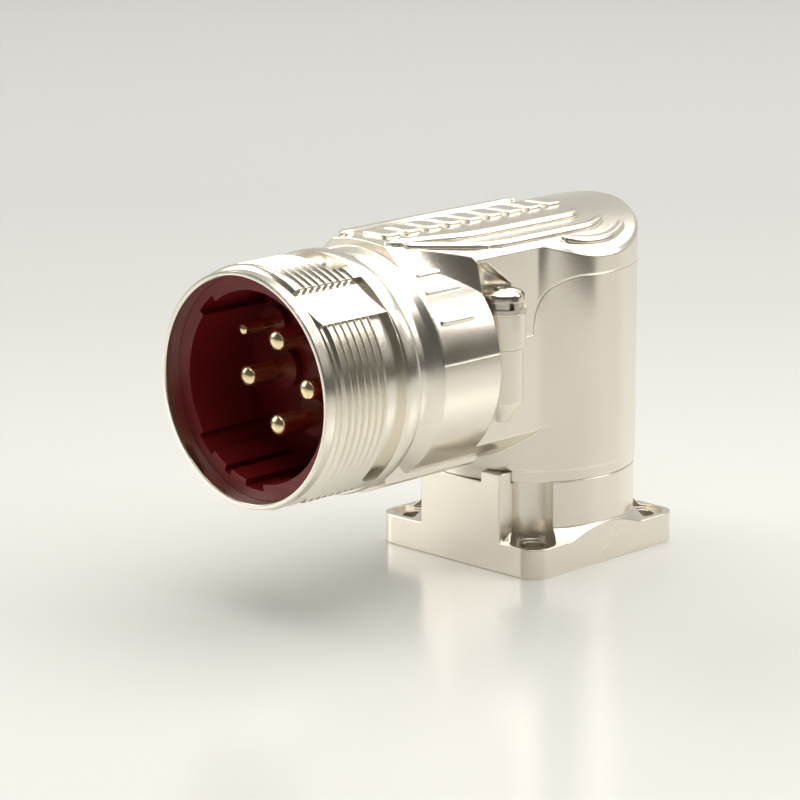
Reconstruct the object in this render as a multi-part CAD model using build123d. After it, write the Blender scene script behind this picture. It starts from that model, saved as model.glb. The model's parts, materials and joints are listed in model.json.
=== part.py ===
from build123d import *
import os
from math import asin, cos, degrees, radians, sin, sqrt

os.makedirs("parts", exist_ok=True)

# A right-angle power receptacle that swivels on its square flange.
# Origin: centre of the flange's underside. The barrel points along -Y.

# Coupling barrel, from its front to its rear
thread_r = 20.0
lead_length = 2.5
rim_land_length = 1.8
rim_land_step = 0.7
rim_wall = 0.85
lead_groove_depth = 1.05
thread_run_in = 0.6
thread_length = 10.6
groove_length = 3.9
groove_depth = 1.2
collar_length = 3.8
collar_step = 0.25
collar_bevel_length = 0.8
collar_bevel_depth = 0.6
bore_step = 1.15
seat_thickness = 1.6
sleeve_step = 0.5
sleeve_wall = 1.8
sleeve_length = 15.6

# Three flats that interrupt the thread, and the grooves behind it
flat_count = 3
flat_depth = 0.95
flat_angle = 56.75
flat_wall_offset = 1.42
groove_start_angle = 70.0
groove_sweep = 89.0

# Red insulating insert and its contacts
insert_depth = 3.0
insert_front_thickness = 2.0
cup_depth = 17.0
ring_wall = 1.5
code_slot_depth = 1.1
code_slots = ((126.5, 141.0), (-143.5, -129.5), (-117.5, -112.5), (-99.5, -85.0))
insert_fit = 0.05
rear_plate_thickness = 4.0
contact_circle_r = 7.0
power_pin_r = 1.8
power_tip_depth = 6.8
power_angles = {"u": 90.0, "v": 0.0, "w": 180.0, "pe": -90.0}
signal_pin_r = 1.0
signal_tip_depth = 8.0
signal_circle_r = 11.5
signal_angles = {"1": 140.5, "2": 39.5}
pin_sleeve_wall = 1.5
pin_sleeve_length = 1.6
solder_cup_wall = 0.5
solder_cup_length = 7.0
retainer_setback = 3.0
retainer_thickness = 1.2
retainer_depth = 0.6
retainer_width = 1.6
retainer_gap = 3.0

# Rotating elbow
post_r = 18.5
post_wall = 2.5
floor_thickness = 4.2
collar_band = 1.9
web_inset = 4.5
web_wall = 2.5
web_length = 9.7
waist_fillet = 5.0
drum_step = 0.25
drum_length = 13.1
cove_length = 5.3
cove_lip_depth = 1.25
cove_depth = 1.75
cove_flare_depth = 1.05
cove_lip_length = 1.2
cove_waist_length = 1.5
cove_flare_length = 1.2
keel_step = 0.85
keel_half_width = 10.5
keel_front_inset = 0.8
keel_rear_overlap = 4.0
keel_gap = 2.7
crown_r = 34.0
crown_lift = 1.15
crown_front_half_width = 6.0
crown_shoulder_width = 9.5
crown_rear_shoulder_width = 15.8
crown_thickness = 2.2
crown_edge_bevel = 0.5

# Cover seam, measured down from the top of the crown
seam_front_drop = 18.2
seam_rear_drop = 8.8
seam_step_inset = 4.3
seam_corner_start = 0.9
cover_gasket_width = 1.0
cover_gasket_height = 0.9

# Cover screws and their ears
screw_outset = 1.8
screw_setback = 4.4
screw_r = 2.0
screw_hole_clearance = 0.2
screw_length = 16.0
screw_head_r = 3.65
screw_head_height = 2.1
recess_depth = 1.3
recess_width = 1.1
recess_length = 3.8
plain_washer_thickness = 0.8
plain_washer_r = 3.9
spring_washer_thickness = 1.1
spring_washer_r = 3.4
spring_washer_split = 0.8
ear_r = 3.9
ear_height = 5.8
boss_r = 3.5
boss_tip_r = 1.2
boss_length = 9.2
boss_tip_length = 3.5
pocket_r = 4.6
pocket_height = 8.2
pocket_rear_height = 3.4
pocket_apex_shift = 2.0
pocket_wall = 1.5

# Raised ribs on the cover
rib_height = 0.6
rib_root = 0.6
rib_spacing = 4.1
inner_rib_width = 1.4
inner_rib_front_inset = 1.4
inner_rib_front_shift = 2.6
outer_rib_inset = 1.8
outer_rib_width = 1.1
outer_rib_front_inset = 3.4
outer_rib_front_shift = 4.7
rib_spread_inset = 4.2
rear_rib_inset = 2.8
rear_rib_width = 1.0
rib_end_angles = (24.0, 28.0)
rear_rib_angles = (-26.0, 33.0)
side_rib_width = 0.9
side_ribs = ((54.5, 1.7, 1.4), (44.0, 1.1, 4.4), (28.0, 1.5, 4.4))
pad_count = 9
pad_pitch = 4.9
pad_length = 2.9
pad_half_width = 2.6
pad_corner = 0.7
pad_front_inset = 5.3

# Flange
flange_margin = 0.1
flange_corner_r = 3.2
plate_thickness = 5.2
spot_face_depth = 0.5
neck_step = 0.1
neck_length = 10.0
neck_flare = 1.9
hole_edge_distance = 4.5
hole_r = 2.15
scoop_r = 3.85
block_left = -8.0
block_right = 10.4
lug_left = 6.1
lug_rise = 1.9
lug_clearance = 0.35

# Swivel bearing
spigot_r = 12.5
spigot_wall = 2.9
spigot_bottom_height = 1.2
swivel_clearance = 0.05
shoulder_height = 5.0
counterbore_step = 1.9
circlip_thickness = 1.2
circlip_depth = 0.9
circlip_rim = 1.4
axial_play = 0.1
swivel_seal_setback = 3.0
swivel_seal_section = 1.8

# Radii and widths that follow
rim_land_r = thread_r - rim_land_step
lead_groove_r = thread_r - lead_groove_depth
mouth_r = rim_land_r - rim_wall
bore_r = mouth_r - bore_step
groove_r = thread_r - groove_depth
collar_r = thread_r + collar_step
sleeve_r = bore_r - sleeve_step
sleeve_bore_r = sleeve_r - sleeve_wall
flat_distance = thread_r - flat_depth
ring_inner_r = bore_r - ring_wall
code_slot_r = ring_inner_r + code_slot_depth
drum_r = thread_r - drum_step
cove_lip_r = drum_r - cove_lip_depth
cove_waist_r = drum_r - cove_depth
cove_flare_r = drum_r - cove_flare_depth
keel_r = drum_r + keel_step
crown_rise = drum_r + crown_lift
crown_shoulder_height = sqrt(drum_r ** 2 - crown_shoulder_width ** 2)
crown_rear_shoulder_height = sqrt(drum_r ** 2 - crown_rear_shoulder_width ** 2)
web_half_width = post_r - web_inset
screw_x = web_half_width + screw_outset
outer_rib_x = web_half_width - outer_rib_inset
inner_rib_x = outer_rib_x - rib_spacing
rear_rib_r = post_r - rear_rib_inset
neck_r = post_r - neck_step
flange_side = 2 * (neck_r + flange_margin)
hole_spacing = flange_side - 2 * hole_edge_distance
spigot_bore_r = spigot_r - spigot_wall
counterbore_r = spigot_r + counterbore_step
circlip_r = spigot_r + circlip_rim

# Heights above the flange's underside that follow
neck_height = plate_thickness + neck_length
lug_height = neck_height + lug_rise
swivel_seal_height = shoulder_height + swivel_seal_setback
collar_bottom_height = neck_height + axial_play
collar_band_height = collar_bottom_height + collar_band
post_floor_height = collar_bottom_height + floor_thickness
axis_height = neck_height + keel_gap + keel_r
crown_top_height = axis_height + crown_rise
crown_axis_height = crown_top_height - crown_r
body_top_height = crown_top_height + 5
seam_height = crown_top_height - seam_front_drop
seam_rear_height = crown_top_height - seam_rear_drop
seam_corner_r = seam_rear_height - seam_height - seam_corner_start
ear_top_height = seam_height + ear_height
boss_taper_height = seam_height - boss_length
boss_bottom_height = boss_taper_height - boss_tip_length

# Reaches that follow: distances from the swivel axis, along -Y
seam_step_reach = post_r - seam_step_inset
drum_rear_reach = post_r + web_length
screw_reach = drum_rear_reach - screw_setback
rib_spread_reach = drum_rear_reach - rib_spread_inset
drum_front_reach = drum_rear_reach + drum_length
cove_flare_reach = drum_front_reach + cove_flare_length
barrel_seat_reach = drum_front_reach + cove_length
cove_waist_front_reach = barrel_seat_reach - cove_lip_length
cove_waist_rear_reach = cove_waist_front_reach - cove_waist_length
keel_front_reach = barrel_seat_reach - keel_front_inset
pad_front_reach = drum_front_reach - pad_front_inset
sleeve_rear_reach = barrel_seat_reach - sleeve_length
plate_rear_reach = sleeve_rear_reach + retainer_setback
insert_rear_reach = plate_rear_reach + rear_plate_thickness
shoulder_reach = barrel_seat_reach + seat_thickness
groove_rear_reach = barrel_seat_reach + collar_length
thread_rear_reach = groove_rear_reach + groove_length
thread_front_reach = thread_rear_reach + thread_length
rim_reach = thread_front_reach + lead_length
insert_front_reach = rim_reach - insert_depth
insert_step_reach = insert_front_reach - insert_front_thickness
floor_reach = rim_reach - cup_depth

barrel_frame = Pos(0, 0, axis_height) * Rot(90, 0, 0)


def save(name, shape):
    export_step(shape, f"parts/{name}.step")


def turned(points):
    """A solid turned about local Z from (radius, place along Z) corners."""
    return revolve(make_face(Plane.XZ * Polyline(*points, close=True)), Axis.Z)


def tube(outer_r, inner_r, low, high):
    return turned([(inner_r, low), (outer_r, low), (outer_r, high), (inner_r, high)])


def rod(radius, low, high):
    return Pos(0, 0, low) * Cylinder(radius, high - low, align=(Align.CENTER, Align.CENTER, Align.MIN))


def block(x_range, y_range, z_range):
    size = [high - low for low, high in (x_range, y_range, z_range)]
    corner = [low for low, high in (x_range, y_range, z_range)]
    return Pos(*corner) * Box(*size, align=(Align.MIN, Align.MIN, Align.MIN))


def crown_cylinder(growth=0.0):
    """Everything under the cover's crowned top, grown or shrunk by growth."""
    body = Rot(90, 0, 0) * Cylinder(crown_r + growth, 3 * rim_reach)
    return Pos(0, 0, crown_axis_height) * body


def drum_cylinder(radius, front_reach, rear_reach):
    return barrel_frame * rod(radius, rear_reach, front_reach)


# Coupling barrel
def ring_sector(inner_r, outer_r, low, high, start_angle, sweep_angle):
    """Part of a tube, from one angle round local Z to another."""
    section = Plane.XZ * Polyline(
        (inner_r, low), (outer_r, low), (outer_r, high), (inner_r, high), close=True)
    return Rot(0, 0, start_angle) * revolve(make_face(section), Axis.Z, revolution_arc=sweep_angle)


def thread_flat(angle):
    cut = block((flat_distance, thread_r + 2), (-thread_r / 2, flat_wall_offset),
                (groove_rear_reach, thread_front_reach + 0.4))
    return Rot(0, 0, angle) * cut


def threaded_barrel():
    land_rear_reach = rim_reach - rim_land_length
    body = turned([
        (mouth_r, rim_reach), (rim_land_r, rim_reach), (rim_land_r, land_rear_reach),
        (lead_groove_r, land_rear_reach), (lead_groove_r, thread_front_reach + 0.4),
        (thread_r, thread_front_reach - thread_run_in), (thread_r, groove_rear_reach),
        (collar_r, groove_rear_reach), (collar_r, barrel_seat_reach + collar_bevel_length),
        (collar_r - collar_bevel_depth, barrel_seat_reach), (sleeve_r, barrel_seat_reach),
        (sleeve_r, sleeve_rear_reach), (sleeve_bore_r, sleeve_rear_reach),
        (sleeve_bore_r, shoulder_reach), (bore_r, shoulder_reach),
        (bore_r, insert_step_reach), (mouth_r, insert_step_reach)])
    for index in range(flat_count):
        turn = index * 360 / flat_count
        body -= thread_flat(flat_angle + turn)
        body -= ring_sector(groove_r, collar_r + 1, groove_rear_reach, thread_rear_reach,
                            groove_start_angle + turn, groove_sweep)
    return body - retainer_ring(sleeve_bore_r - 0.5)


def retainer_ring(inner_r=sleeve_bore_r - retainer_width):
    """The ring that holds the insert, seated in a groove of the sleeve."""
    return tube(sleeve_bore_r + retainer_depth, inner_r, plate_rear_reach - retainer_thickness,
                plate_rear_reach)


def split_retainer():
    gap = block((0, sleeve_r), (-retainer_gap / 2, retainer_gap / 2), (0, rim_reach))
    return retainer_ring() - Rot(0, 0, -90) * gap


# Insert and contacts
def contact_places():
    """Each contact's name, place across the barrel, pin radius and tip depth."""
    for name, angle in power_angles.items():
        at = (contact_circle_r * cos(radians(angle)), contact_circle_r * sin(radians(angle)))
        yield f"power_contact_{name}", at, power_pin_r, power_tip_depth
    for name, angle in signal_angles.items():
        at = (signal_circle_r * cos(radians(angle)), signal_circle_r * sin(radians(angle)))
        yield f"signal_contact_{name}", at, signal_pin_r, signal_tip_depth


def insert_body():
    front = insert_front_reach
    outer_r = sleeve_bore_r - insert_fit
    body = turned([
        (0, insert_rear_reach), (outer_r, insert_rear_reach), (outer_r, shoulder_reach),
        (bore_r - insert_fit, shoulder_reach), (bore_r - insert_fit, insert_step_reach),
        (mouth_r - insert_fit, insert_step_reach), (mouth_r - insert_fit, front),
        (ring_inner_r, front), (ring_inner_r, floor_reach), (0, floor_reach)])
    for start_angle, end_angle in code_slots:
        body -= ring_sector(ring_inner_r - 0.5, code_slot_r, floor_reach, front + 1,
                            start_angle, end_angle - start_angle)
    for _, at, pin_r, _ in contact_places():
        sleeve = rod(pin_r + pin_sleeve_wall, floor_reach, floor_reach + pin_sleeve_length)
        hole = rod(pin_r, insert_rear_reach, floor_reach + pin_sleeve_length)
        body = body + Pos(*at, 0) * sleeve - Pos(*at, 0) * hole
    return body


def insert_rear():
    plate = rod(sleeve_bore_r - insert_fit, plate_rear_reach, insert_rear_reach)
    for _, at, pin_r, _ in contact_places():
        plate -= Pos(*at, 0) * rod(pin_r, plate_rear_reach, insert_rear_reach)
    return plate


def contact(pin_r, tip_depth):
    """A turned pin whose wider solder end stops behind the rear plate."""
    tip = rim_reach - tip_depth
    tail = plate_rear_reach - solder_cup_length
    round_size = pin_r * 0.28
    cup_r = pin_r + solder_cup_wall
    return turned([
        (0, tip), (pin_r - round_size, tip), (pin_r, tip - round_size), (pin_r, plate_rear_reach),
        (cup_r, plate_rear_reach), (cup_r, tail), (0, tail)])


# Elbow: outer form, hollow and seam
def waist_plan():
    """Post and web seen from above, with concave corners between them."""
    plan = Circle(post_r) + Pos(0, -drum_rear_reach / 2) * Rectangle(2 * web_half_width, drum_rear_reach)
    junction_y = -sqrt(post_r ** 2 - web_half_width ** 2)
    corners = [v for v in plan.vertices()
               if abs(v.Y - junction_y) < 0.01 and abs(abs(v.X) - web_half_width) < 0.01]
    return fillet(corners, waist_fillet)


def crown_section(edge_x, shoulder_x, shoulder_z, reach):
    """The raised top across the drum: its sides slope from the crown down to the drum."""
    edge_z = crown_height(edge_x) - axis_height
    slope = (shoulder_x - edge_x) / (edge_z - shoulder_z)
    top_z = crown_rise + 0.5
    top_x = edge_x - slope * (top_z - edge_z)
    half = ((top_x, top_z), (shoulder_x, shoulder_z), (edge_x, 0))
    mirrored = [(-x, z) for x, z in reversed(half)]
    face = make_face(Plane.XZ * Polyline(*half, *mirrored, close=True))
    return Pos(0, -reach, axis_height) * face


def crown_over_drum():
    front = crown_section(crown_front_half_width, crown_shoulder_width,
                          crown_shoulder_height, drum_front_reach)
    rear = crown_section(web_half_width, crown_rear_shoulder_width,
                         crown_rear_shoulder_height, drum_rear_reach)
    return loft([front, rear], ruled=True)


def elbow_envelope():
    """The closed outer form of housing and cover together."""
    drum = drum_cylinder(drum_r, drum_front_reach, drum_rear_reach)
    height = body_top_height - collar_band_height
    waist = Pos(0, 0, collar_band_height) * extrude(waist_plan(), height)
    post = rod(post_r, collar_band_height, body_top_height)
    side = 2 * post_r
    under = block((-side, side), (-drum_front_reach, -post_r * 0.6), (0, axis_height))
    waist -= under - drum_cylinder(drum_r, rim_reach, -post_r) - post
    top = (waist + crown_over_drum()) & crown_cylinder()
    bosses = screw_bosses(boss_r, boss_taper_height, seam_height) + boss_tips()
    return top + drum + keel() + bosses + screw_bosses(ear_r, seam_height, ear_top_height)


def keel():
    """The deeper belly under the drum, which passes over the flange's lug."""
    belly = drum_cylinder(keel_r, keel_front_reach, drum_rear_reach - keel_rear_overlap)
    return belly & block((-keel_half_width, keel_half_width), (-rim_reach, 0), (0, axis_height - drum_r * 0.6))


def screw_bosses(radius, low, high):
    column = Pos(screw_x, -screw_reach) * rod(radius, low, high)
    return column + mirror(column, Plane.YZ)


def boss_tips():
    """The tapered lower end of each screw boss."""
    tip = Cone(boss_tip_r, boss_r, boss_tip_length, align=(Align.CENTER, Align.CENTER, Align.MIN))
    tip = Pos(screw_x, -screw_reach, boss_bottom_height) * tip
    return tip + mirror(tip, Plane.YZ)


def screw_pockets():
    """Driver room over each ear, under a roof that slopes down to the rear."""
    front = -screw_reach - pocket_r
    rear = -screw_reach + pocket_r
    apex = -screw_reach - pocket_apex_shift
    low = ear_top_height
    roof = Plane.YZ * Polyline(
        (front, low), (rear, low), (rear, low + pocket_rear_height),
        (apex, low + pocket_height), (front, low + pocket_height), close=True)
    wedge = extrude(make_face(roof), amount=3 * post_r, both=True)
    column = Pos(screw_x, -screw_reach) * rod(pocket_r, ear_top_height, body_top_height)
    pocket = column & wedge
    return pocket + mirror(pocket, Plane.YZ)


def elbow_hollow(growth=0.0):
    """The wire space inside the elbow, grown outward by growth."""
    bore = drum_cylinder(sleeve_r + growth, barrel_seat_reach, sleeve_rear_reach - 1)
    half_width = web_half_width - web_wall + growth
    web = block((-half_width, half_width), (-sleeve_rear_reach, 0),
                (axis_height - half_width, body_top_height))
    post = rod(post_r - post_wall + growth, post_floor_height, body_top_height)
    room = (web + post) & crown_cylinder(growth - crown_thickness)
    backing = screw_bosses(pocket_r + pocket_wall - growth, ear_top_height - pocket_wall + growth,
                           body_top_height)
    return bore + (room - backing)


def cover_region():
    """All that lies above the seam, seen from the side."""
    front = -drum_front_reach
    step = -seam_step_reach
    rear = post_r + 10
    outline = Polyline((front, body_top_height + 9), (front, seam_height), (step, seam_height),
                       (step, seam_rear_height), (rear, seam_rear_height),
                       (rear, body_top_height + 9), close=True)
    face = Plane.YZ * make_face(outline)
    solid = extrude(face, amount=60, both=True)
    corner = solid.edges().filter_by(Axis.X).filter_by(
        lambda e: abs(e.center().Y - step) < 0.01 and abs(e.center().Z - seam_rear_height) < 0.01)
    return fillet(corner, seam_corner_r)


def cover_gasket():
    region = cover_region()
    strip = Pos(0, cover_gasket_height, -cover_gasket_height) * region - region
    seal = strip & (elbow_hollow(cover_gasket_width) - elbow_hollow())
    return seal - drum_cylinder(sleeve_r + cover_gasket_width, rim_reach, sleeve_rear_reach - 2)


def mouth_ring():
    """The elbow's mouth, with its hollowed cove and sharp rear edge."""
    return barrel_frame * turned([
        (sleeve_r, barrel_seat_reach), (cove_lip_r, barrel_seat_reach),
        (cove_waist_r, cove_waist_front_reach), (cove_waist_r, cove_waist_rear_reach),
        (cove_flare_r, cove_flare_reach), (drum_r, drum_front_reach), (sleeve_r, drum_front_reach)])


def spigot():
    """The turned foot that swivels in the flange, with its two grooves."""
    clip_top = shoulder_height - axial_play
    clip_low = clip_top - circlip_thickness
    seal_r = spigot_r - swivel_seal_section
    seal_top = swivel_seal_height + swivel_seal_section
    return turned([
        (spigot_bore_r, spigot_bottom_height), (spigot_r, spigot_bottom_height),
        (spigot_r, clip_low), (spigot_r - circlip_depth, clip_low),
        (spigot_r - circlip_depth, clip_top), (spigot_r, clip_top),
        (spigot_r, swivel_seal_height), (seal_r, swivel_seal_height), (seal_r, seal_top),
        (spigot_r, seal_top), (spigot_r, collar_bottom_height),
        (neck_r, collar_bottom_height), (neck_r, collar_band_height),
        (neck_r, post_floor_height + 1), (spigot_bore_r, post_floor_height + 1)])


def screw_holes():
    clearance = Pos(screw_x, -screw_reach) * rod(screw_r + screw_hole_clearance,
                                                 seam_height, ear_top_height + 1)
    thread = Pos(screw_x, -screw_reach) * rod(screw_r, screw_foot_height() - 1, seam_height)
    both = clearance + thread
    return both + mirror(both, Plane.YZ)


def washer_stack_height():
    return ear_top_height + plain_washer_thickness + spring_washer_thickness


def screw_foot_height():
    return washer_stack_height() - screw_length


def elbow_housing(envelope):
    lower = envelope - cover_region() - elbow_hollow()
    lower = lower + spigot() + mouth_ring()
    lower -= rod(spigot_bore_r, 0, post_floor_height + 2)
    lower -= rod(post_r - post_wall, post_floor_height, seam_height)
    lower -= drum_cylinder(sleeve_r, rim_reach, sleeve_rear_reach - 1)
    return lower - cover_gasket() - screw_holes()


def top_cover(envelope):
    shell = (envelope & cover_region()) - screw_pockets()
    shell = bevel_crown_edge(shell)
    shell += raised_ribs() + side_rib_bars() + grip_pads()
    return shell - elbow_hollow() - screw_holes()


def bevel_crown_edge(shell):
    """Softens the top's outline behind the drum, where the crown meets the walls."""
    def on_outline(edge):
        points = (edge @ 0, edge @ 0.5, edge @ 1)
        on_crown = all(abs(crown_height(point.X) - point.Z) < 0.02 for point in points)
        return on_crown and all(point.Y > -drum_rear_reach - 0.01 for point in points)
    return chamfer([edge for edge in shell.edges() if on_outline(edge)], crown_edge_bevel)


def crown_height(x):
    return crown_axis_height + sqrt(crown_r ** 2 - min(abs(x), crown_r) ** 2)


# Ribs and pads on the cover
def rib_band(path, width):
    """A raised band on the crown that follows a path seen from above."""
    plan = make_face(path.offset_2d(width / 2, Kind.ARC, Side.BOTH))
    column = Pos(0, 0, axis_height + 10) * extrude(plan, body_top_height - axis_height)
    return column & (crown_cylinder(rib_height) - crown_cylinder(-rib_root))


def long_rib_path(x, end_angle, front_shift, front_inset):
    front = (x - front_shift, front_inset - drum_front_reach)
    spread = (x, -rib_spread_reach)
    straight = Polyline(front, spread, (x, 0))
    bend = CenterArc((0, 0), x, 0, end_angle)
    return Wire(straight.edges() + bend.edges())


def raised_ribs():
    inner_path = long_rib_path(inner_rib_x, rib_end_angles[0], inner_rib_front_shift, inner_rib_front_inset)
    outer_path = long_rib_path(outer_rib_x, rib_end_angles[1], outer_rib_front_shift, outer_rib_front_inset)
    inner = rib_band(inner_path, inner_rib_width)
    outer = rib_band(outer_path, outer_rib_width)
    start, end = rear_rib_angles
    rear = rib_band(Wire(CenterArc((0, 0), rear_rib_r, start, end - start).edges()), rear_rib_width)
    right = inner + outer + rear
    return right + mirror(right, Plane.YZ)


def side_rib_bars():
    """Short round bars along the drum's shoulders, the same on both sides."""
    bars = Part()
    for angle, front_inset, rear_inset in side_ribs:
        bar = rod(side_rib_width / 2, drum_rear_reach + rear_inset, drum_front_reach - front_inset)
        bar = Pos(drum_r - 0.05, 0, 0) * bar
        bars += barrel_frame * Rot(0, 0, angle) * bar
    return bars + mirror(bars, Plane.YZ)


def grip_pads():
    """A plain row of raised pads along the middle of the cover."""
    pads = Part()
    for index in range(pad_count):
        y = -pad_front_reach + index * pad_pitch
        bar = Rectangle(2 * pad_half_width, pad_length)
        plan = Pos(0, y) * chamfer(bar.vertices(), pad_corner)
        pads += Pos(0, 0, axis_height + 10) * extrude(plan, body_top_height - axis_height)
    return pads & (crown_cylinder(rib_height) - crown_cylinder(-rib_root))


# Screws and washers
def cover_screw():
    seat = washer_stack_height()
    top = seat + screw_head_height
    body = turned([
        (0, screw_foot_height()), (screw_r, screw_foot_height()), (screw_r, seat), (screw_head_r, seat),
        (screw_head_r, seat + screw_head_height * 0.5), (screw_head_r * 0.7, top), (0, top)])
    for turn in (0, 90):
        body -= Rot(0, 0, turn + 45) * block(
            (-recess_length / 2, recess_length / 2), (-recess_width / 2, recess_width / 2),
            (top - recess_depth, top + 1))
    return body


def plain_washer():
    return tube(plain_washer_r, screw_r + screw_hole_clearance, ear_top_height,
                ear_top_height + plain_washer_thickness)


def spring_washer():
    low = ear_top_height + plain_washer_thickness
    ring = tube(spring_washer_r, screw_r + screw_hole_clearance, low, low + spring_washer_thickness)
    half = spring_washer_split / 2
    return ring - Rot(0, 0, -20) * block((0, spring_washer_r + 1), (-half, half), (low, low + 3))


def save_screw_sets():
    fasteners = {"cover_screw": cover_screw(), "plain_washer": plain_washer(), "spring_washer": spring_washer()}
    for name, shape in fasteners.items():
        right = Pos(screw_x, -screw_reach) * shape
        save(f"{name}_right", right)
        save(f"{name}_left", mirror(right, Plane.YZ))


# Flange and swivel
def flange_holes():
    half = hole_spacing / 2
    return [(x, y) for x in (-half, half) for y in (-half, half)]


def mounting_flange():
    plate = extrude(RectangleRounded(flange_side, flange_side, flange_corner_r), plate_thickness)
    neck = turned([
        (0, plate_thickness), (neck_r + neck_flare, plate_thickness),
        (neck_r, plate_thickness + neck_flare), (neck_r, neck_height), (0, neck_height)])
    outline = block((-flange_side / 2, flange_side / 2), (-flange_side / 2, flange_side / 2), (0, lug_height))
    body = plate + (neck & outline)
    front = -flange_side / 2
    body += block((block_left, block_right), (front, 0), (0, neck_height))
    lug = block((lug_left, block_right), (front, -10), (0, lug_height))
    body += lug - rod(neck_r + lug_clearance, neck_height, lug_height + 1)
    for x, y in flange_holes():
        body -= Pos(x, y) * rod(hole_r, 0, plate_thickness)
        body -= Pos(x, y) * rod(scoop_r, plate_thickness - spot_face_depth, lug_height + 1)
    body -= rod(spigot_r + swivel_clearance, 0, lug_height)
    return body - rod(counterbore_r, 0, shoulder_height)


def swivel_seal():
    """A square ring in the spigot's upper groove."""
    return tube(spigot_r, spigot_r - swivel_seal_section, swivel_seal_height,
                swivel_seal_height + swivel_seal_section)


def swivel_circlip():
    top = shoulder_height - axial_play
    ring = tube(circlip_r, spigot_r - circlip_depth, top - circlip_thickness, top)
    return ring - block((-3, 3), (0, counterbore_r + 1), (0, shoulder_height))


# Everything is written here
envelope = elbow_envelope()
save("elbow_housing", elbow_housing(envelope))
save("top_cover", top_cover(envelope))
save("cover_gasket", cover_gasket())
save_screw_sets()
save("threaded_barrel", barrel_frame * threaded_barrel())
save("insert_body", barrel_frame * insert_body())
save("insert_rear", barrel_frame * insert_rear())
save("insert_retainer", barrel_frame * split_retainer())
for contact_name, place, pin_radius, depth in contact_places():
    save(contact_name, barrel_frame * Pos(*place, 0) * contact(pin_radius, depth))
save("mounting_flange", mounting_flange())
save("swivel_seal", swivel_seal())
save("swivel_circlip", swivel_circlip())
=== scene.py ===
"""Looks of a right-angle power connector with a swivelling square flange.

The CAD frame is used throughout, in metres. The flange's underside is centred
on the origin, the swivel axis is +Z and the coupling barrel points along -Y.
"""

import json
import logging
import math
from dataclasses import dataclass
from enum import Enum
from typing import Any, Sequence

import bmesh
import bpy
from mathutils import Matrix, Vector


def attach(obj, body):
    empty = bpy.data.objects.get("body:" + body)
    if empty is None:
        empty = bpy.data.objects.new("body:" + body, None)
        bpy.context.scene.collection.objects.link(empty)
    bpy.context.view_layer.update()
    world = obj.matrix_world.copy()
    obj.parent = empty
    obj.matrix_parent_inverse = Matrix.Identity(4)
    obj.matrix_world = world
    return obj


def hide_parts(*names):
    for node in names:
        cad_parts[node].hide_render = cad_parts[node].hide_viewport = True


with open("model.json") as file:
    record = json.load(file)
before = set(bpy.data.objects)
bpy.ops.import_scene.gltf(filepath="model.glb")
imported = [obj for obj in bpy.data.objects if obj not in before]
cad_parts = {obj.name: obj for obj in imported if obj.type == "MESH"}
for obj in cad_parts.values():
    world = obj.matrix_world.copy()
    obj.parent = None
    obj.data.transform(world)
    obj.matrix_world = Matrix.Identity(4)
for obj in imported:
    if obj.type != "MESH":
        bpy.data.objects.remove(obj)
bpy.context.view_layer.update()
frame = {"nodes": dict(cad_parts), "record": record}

log = logging.getLogger("connector")
MM = 0.001


class Slot(Enum):
    """Material slots of the record."""

    CASTING = "plated_casting"
    BARREL = "plated_barrel"
    INSERT = "red_insert"
    CONTACT = "contact_brass"
    SCREW = "screw_steel"
    WASHER = "washer_steel"
    SEAL = "seal_rubber"


class Value:
    """A shader socket that takes part in Python arithmetic."""

    def __init__(self, tree: bpy.types.NodeTree, socket: bpy.types.NodeSocket) -> None:
        """Wraps a socket.

        Args:
            tree: The node tree that holds the socket.
            socket: The output socket with the value.
        """
        self.tree = tree
        self.socket = socket

    def _math(self, operation: str, first: Any, second: Any) -> "Value":
        """Adds a Math node.

        Args:
            operation: The node's operation.
            first: The first operand, a Value or a number.
            second: The second operand, a Value or a number.

        Returns:
            The result.
        """
        node = self.tree.nodes.new("ShaderNodeMath")
        node.operation = operation
        for place, operand in enumerate((first, second)):
            if isinstance(operand, Value):
                self.tree.links.new(operand.socket, node.inputs[place])
            else:
                node.inputs[place].default_value = operand
        return Value(self.tree, node.outputs[0])

    def __add__(self, other: Any) -> "Value":
        """Sum."""
        return self._math("ADD", self, other)

    def __sub__(self, other: Any) -> "Value":
        """Difference."""
        return self._math("SUBTRACT", self, other)

    def __mul__(self, other: Any) -> "Value":
        """Product."""
        return self._math("MULTIPLY", self, other)


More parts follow.
